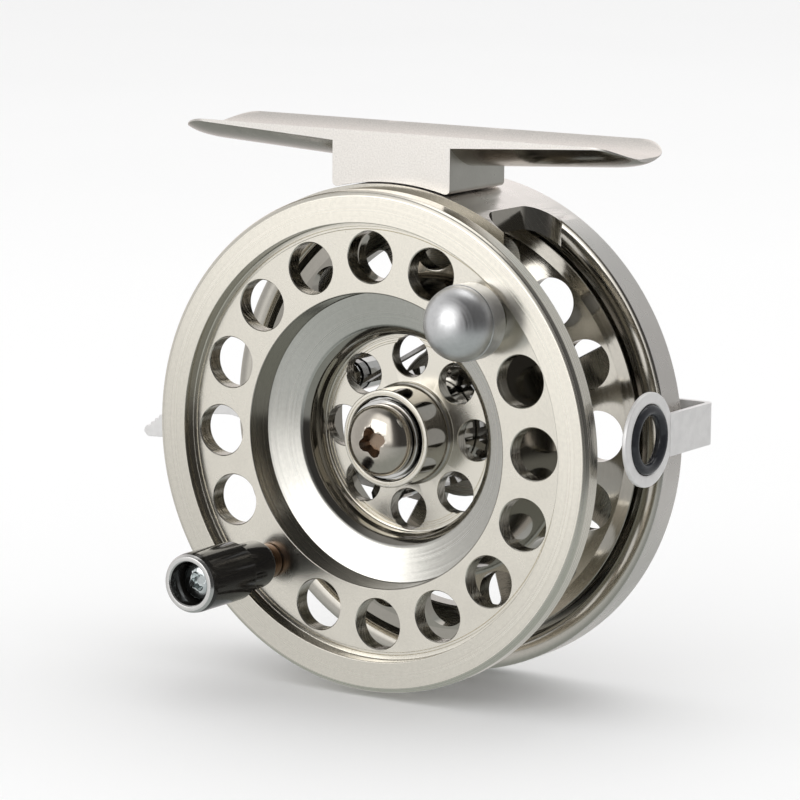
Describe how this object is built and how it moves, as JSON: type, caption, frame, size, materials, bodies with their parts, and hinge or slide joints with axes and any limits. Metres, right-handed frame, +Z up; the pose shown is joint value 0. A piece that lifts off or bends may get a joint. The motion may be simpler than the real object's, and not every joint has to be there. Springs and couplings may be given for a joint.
{
  "type": "fly reel",
  "caption": "Small single-action fly reel: perforated spool on a one-sided frame, with a reel foot, counterweighted handle, ring line guide and a lock lever behind the plate.",
  "frame": {"origin": "middle of the reel foot's rod seat", "axes": "+Z up into the rod, +X along the foot, +Y from the handle side to the back plate"},
  "size_m": [0.0835, 0.0423, 0.0669],
  "materials": {
    "champagne_alloy": "turned and anodised, satin to polished",
    "blasted_alloy": "bead blasted and anodised",
    "grey_alloy": "satin",
    "bright_steel": "bright nickel plated",
    "dark_steel": "oiled",
    "brass": "turned",
    "black_sleeve": "polished",
    "grey_ceramic": "polished ceramic",
    "spring_steel": "rolled, tempered"
  },
  "bodies": {
    "frame": {"frame": "champagne_alloy", "reel_foot": "blasted_alloy", "foot_screw_front": "bright_steel", "foot_screw_rear": "bright_steel", "spindle": "bright_steel", "spindle_washer": "bright_steel", "spindle_nut": "bright_steel", "spool_screw": "bright_steel", "spool_washer": "dark_steel", "front_bearing_inner_race": "bright_steel", "rear_bearing_inner_race": "bright_steel", "bearing_spacer": "bright_steel", "guide_bracket": "grey_alloy", "guide_ring": "grey_ceramic", "guide_screw_lower": "bright_steel", "guide_screw_upper": "bright_steel", "lever_pivot_screw": "bright_steel", "click_post": "bright_steel", "click_spring": "spring_steel"},
    "spool": {"spool": "champagne_alloy", "ratchet_gear": "bright_steel", "front_bearing_outer_race": "bright_steel", "rear_bearing_outer_race": "bright_steel", "counterweight": "grey_alloy", "handle_post": "brass", "handle_screw": "bright_steel"},
    "handle_sleeve": {"handle_sleeve": "black_sleeve"},
    "lock_lever": {"lock_lever": "grey_alloy", "lock_pawl": "bright_steel"}
  },
  "joints": [
    {"name": "spool_spin", "type": "hinge", "parent": "frame", "child": "spool", "pos_m": [0, -0.011, -0.035], "axis": [0, 1, 0], "continuous": true},
    {"name": "handle_spin", "type": "hinge", "parent": "spool", "child": "handle_sleeve", "pos_m": [-0.01497, -0.019, -0.0511], "axis": [0, 1, 0], "continuous": true},
    {"name": "lever_turn", "type": "hinge", "parent": "frame", "child": "lock_lever", "pos_m": [-0.01848, 0.0135, -0.04265], "axis": [0, -1, 0], "range_deg": [0, 6]}
  ]
}
